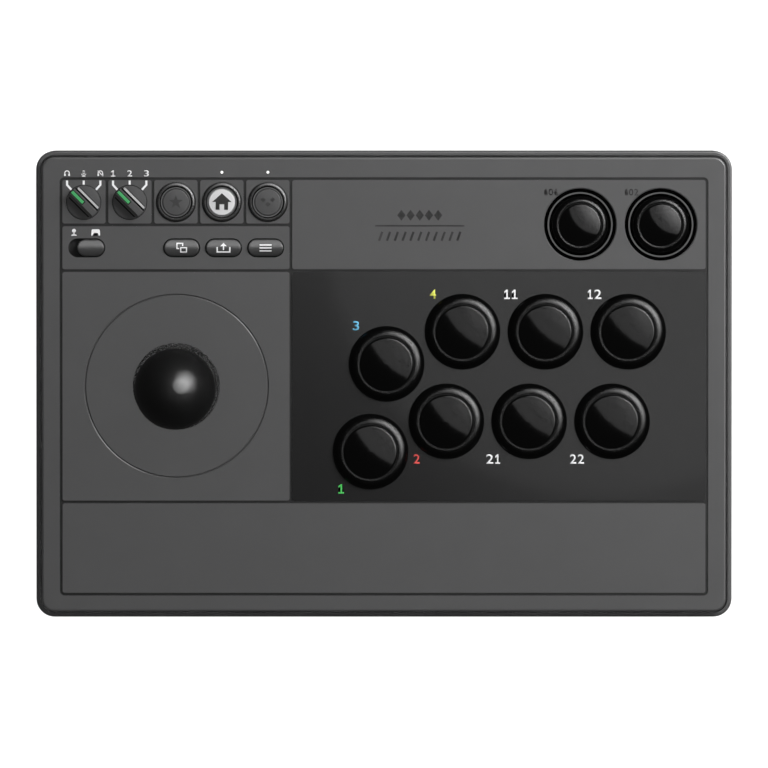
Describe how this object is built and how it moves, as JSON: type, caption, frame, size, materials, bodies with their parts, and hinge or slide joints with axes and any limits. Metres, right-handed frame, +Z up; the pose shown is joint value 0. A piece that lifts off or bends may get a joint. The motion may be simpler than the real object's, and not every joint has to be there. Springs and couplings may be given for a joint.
{
  "type": "arcade joystick panel",
  "caption": "Desktop arcade stick controller: a flat grey case with a ball-top lever, round push buttons on a dark panel, selector knobs, pill keys and a slide switch.",
  "frame": {"origin": "middle of the case's footprint, on the underside of the rubber mat", "axes": "+X to the player's right, +Y to the back, +Z up out of the panel"},
  "size_m": [0.303, 0.203, 0.112],
  "materials": {
    "base_mat": "matt",
    "base_plate": "satin",
    "case_plastic": "fine satin",
    "inlay": "smooth",
    "steel": "satin",
    "gloss_black": "high gloss",
    "dark_plastic": "matt",
    "pale_plastic": "matt",
    "board": "satin",
    "washer_black": "grained",
    "cell": "satin",
    "port_metal": "bright",
    "cap_grey": "satin",
    "print_white": "printed",
    "marker_green": "satin",
    "home_white": "satin",
    "print_blue": "printed",
    "print_yellow": "printed",
    "print_green": "printed",
    "print_red": "printed",
    "print_dark": "printed",
    "print_faint": "printed",
    "light_pipe": "clear"
  },
  "bodies": {
    "case": {"base_mat": "base_mat", "base_plate": "base_plate", "lower_case": "case_plastic", "top_shell": "case_plastic", "panel_inlay": "inlay", "mount_plate": "steel", "lever_housing": "dark_plastic", "lever_spring": "steel", "restrictor_gate": "pale_plastic", "lever_switch_board": "board", "lever_switches": "dark_plastic", "housing_1": "gloss_black", "housing_2": "gloss_black", "housing_3": "gloss_black", "housing_4": "gloss_black", "housing_5": "gloss_black", "housing_6": "gloss_black", "housing_7": "gloss_black", "housing_8": "gloss_black", "aux_housing_1": "gloss_black", "aux_housing_2": "gloss_black", "aux_dishes": "dark_plastic", "button_switches": "dark_plastic", "function_board": "board", "function_switches": "dark_plastic", "control_board": "board", "battery": "cell", "usb_port": "port_metal", "headset_jack": "dark_plastic", "light_pipes": "light_pipe", "screws": "steel"},
    "gimbal": {"gimbal_ring": "pale_plastic"},
    "hub": {"pivot_hub": "pale_plastic"},
    "lever": {"lever_shaft": "steel", "shaft_cover": "gloss_black", "ball_top": "gloss_black", "actuator": "pale_plastic", "e_clip": "steel"},
    "under_washer": {"under_washer": "washer_black"},
    "dust_washer": {"dust_washer": "washer_black"},
    "plunger_1": {"plunger_1": "gloss_black"},
    "plunger_2": {"plunger_2": "gloss_black"},
    "plunger_3": {"plunger_3": "gloss_black"},
    "plunger_4": {"plunger_4": "gloss_black"},
    "plunger_5": {"plunger_5": "gloss_black"},
    "plunger_6": {"plunger_6": "gloss_black"},
    "plunger_7": {"plunger_7": "gloss_black"},
    "plunger_8": {"plunger_8": "gloss_black"},
    "aux_plunger_1": {"aux_plunger_1": "gloss_black"},
    "aux_plunger_2": {"aux_plunger_2": "gloss_black"},
    "turbo_cap": {"turbo_cap": "case_plastic"},
    "home_cap": {"home_cap": "home_white"},
    "profile_cap": {"profile_cap": "case_plastic"},
    "view_cap": {"view_cap": "cap_grey"},
    "share_cap": {"share_cap": "cap_grey"},
    "menu_cap": {"menu_cap": "cap_grey"},
    "pair_button": {"pair_button": "cap_grey"},
    "knob_1": {"knob_1": "case_plastic"},
    "knob_2": {"knob_2": "case_plastic"},
    "mode_slider": {"mode_slider": "cap_grey"}
  },
  "joints": [
    {"name": "lever_tilt_x", "type": "hinge", "parent": "case", "child": "gimbal", "pos_m": [-0.0903, -0.0008, 0.032], "axis": [1, 0, 0], "range_deg": [-9, 9], "stiffness_Nm_per_rad": 0.6, "deforming": ["lever_spring"]},
    {"name": "lever_tilt_y", "type": "hinge", "parent": "gimbal", "child": "hub", "pos_m": [-0.0903, -0.0008, 0.032], "axis": [0, 1, 0], "range_deg": [-9, 9], "stiffness_Nm_per_rad": 0.6},
    {"name": "lever_spin", "type": "hinge", "parent": "hub", "child": "lever", "pos_m": [-0.0903, -0.0008, 0.032], "axis": [0, 0, 1], "continuous": true},
    {"name": "washer_slide_y", "type": "slide", "parent": "case", "child": "under_washer", "axis": [0, 1, 0], "range_m": [-0.0035, 0.0035]},
    {"name": "washer_slide_x", "type": "slide", "parent": "under_washer", "child": "dust_washer", "axis": [1, 0, 0], "range_m": [-0.0035, 0.0035]},
    {"name": "plunger_1_press", "type": "slide", "parent": "case", "child": "plunger_1", "axis": [0, 0, -1], "range_m": [0, 0.0032], "stiffness_N_per_m": 200, "springref_m": -0.0015},
    {"name": "plunger_2_press", "type": "slide", "parent": "case", "child": "plunger_2", "axis": [0, 0, -1], "range_m": [0, 0.0032], "stiffness_N_per_m": 200, "springref_m": -0.0015},
    {"name": "plunger_3_press", "type": "slide", "parent": "case", "child": "plunger_3", "axis": [0, 0, -1], "range_m": [0, 0.0032], "stiffness_N_per_m": 200, "springref_m": -0.0015},
    {"name": "plunger_4_press", "type": "slide", "parent": "case", "child": "plunger_4", "axis": [0, 0, -1], "range_m": [0, 0.0032], "stiffness_N_per_m": 200, "springref_m": -0.0015},
    {"name": "plunger_5_press", "type": "slide", "parent": "case", "child": "plunger_5", "axis": [0, 0, -1], "range_m": [0, 0.0032], "stiffness_N_per_m": 200, "springref_m": -0.0015},
    {"name": "plunger_6_press", "type": "slide", "parent": "case", "child": "plunger_6", "axis": [0, 0, -1], "range_m": [0, 0.0032], "stiffness_N_per_m": 200, "springref_m": -0.0015},
    {"name": "plunger_7_press", "type": "slide", "parent": "case", "child": "plunger_7", "axis": [0, 0, -1], "range_m": [0, 0.0032], "stiffness_N_per_m": 200, "springref_m": -0.0015},
    {"name": "plunger_8_press", "type": "slide", "parent": "case", "child": "plunger_8", "axis": [0, 0, -1], "range_m": [0, 0.0032], "stiffness_N_per_m": 200, "springref_m": -0.0015},
    {"name": "aux_plunger_1_press", "type": "slide", "parent": "case", "child": "aux_plunger_1", "axis": [0, 0, -1], "range_m": [0, 0.0024], "stiffness_N_per_m": 200, "springref_m": -0.0015},
    {"name": "aux_plunger_2_press", "type": "slide", "parent": "case", "child": "aux_plunger_2", "axis": [0, 0, -1], "range_m": [0, 0.0024], "stiffness_N_per_m": 200, "springref_m": -0.0015},
    {"name": "turbo_cap_press", "type": "slide", "parent": "case", "child": "turbo_cap", "axis": [0, 0, -1], "range_m": [0, 0.001], "stiffness_N_per_m": 150, "springref_m": -0.002},
    {"name": "home_cap_press", "type": "slide", "parent": "case", "child": "home_cap", "axis": [0, 0, -1], "range_m": [0, 0.001], "stiffness_N_per_m": 150, "springref_m": -0.002},
    {"name": "profile_cap_press", "type": "slide", "parent": "case", "child": "profile_cap", "axis": [0, 0, -1], "range_m": [0, 0.001], "stiffness_N_per_m": 150, "springref_m": -0.002},
    {"name": "view_cap_press", "type": "slide", "parent": "case", "child": "view_cap", "axis": [0, 0, -1], "range_m": [0, 0.001], "stiffness_N_per_m": 150, "springref_m": -0.002},
    {"name": "share_cap_press", "type": "slide", "parent": "case", "child": "share_cap", "axis": [0, 0, -1], "range_m": [0, 0.001], "stiffness_N_per_m": 150, "springref_m": -0.002},
    {"name": "menu_cap_press", "type": "slide", "parent": "case", "child": "menu_cap", "axis": [0, 0, -1], "range_m": [0, 0.001], "stiffness_N_per_m": 150, "springref_m": -0.002},
    {"name": "pair_button_press", "type": "slide", "parent": "case", "child": "pair_button", "axis": [0, -1, 0], "range_m": [0, 0.0006], "stiffness_N_per_m": 60, "springref_m": -0.001},
    {"name": "knob_1_turn", "type": "hinge", "parent": "case", "child": "knob_1", "pos_m": [-0.1306, 0.0792, 0.052], "axis": [0, 0, 1], "range_deg": [-90, 0]},
    {"name": "knob_2_turn", "type": "hinge", "parent": "case", "child": "knob_2", "pos_m": [-0.1106, 0.0792, 0.052], "axis": [0, 0, 1], "range_deg": [-90, 0]},
    {"name": "mode_slide", "type": "slide", "parent": "case", "child": "mode_slider", "axis": [-1, 0, 0], "range_m": [0, 0.0034]}
  ],
  "couplings": [
    {"joint": "washer_slide_y", "follows": "lever_tilt_x", "m_per_rad": -0.0208},
    {"joint": "washer_slide_x", "follows": "lever_tilt_y", "m_per_rad": 0.0208}
  ]
}
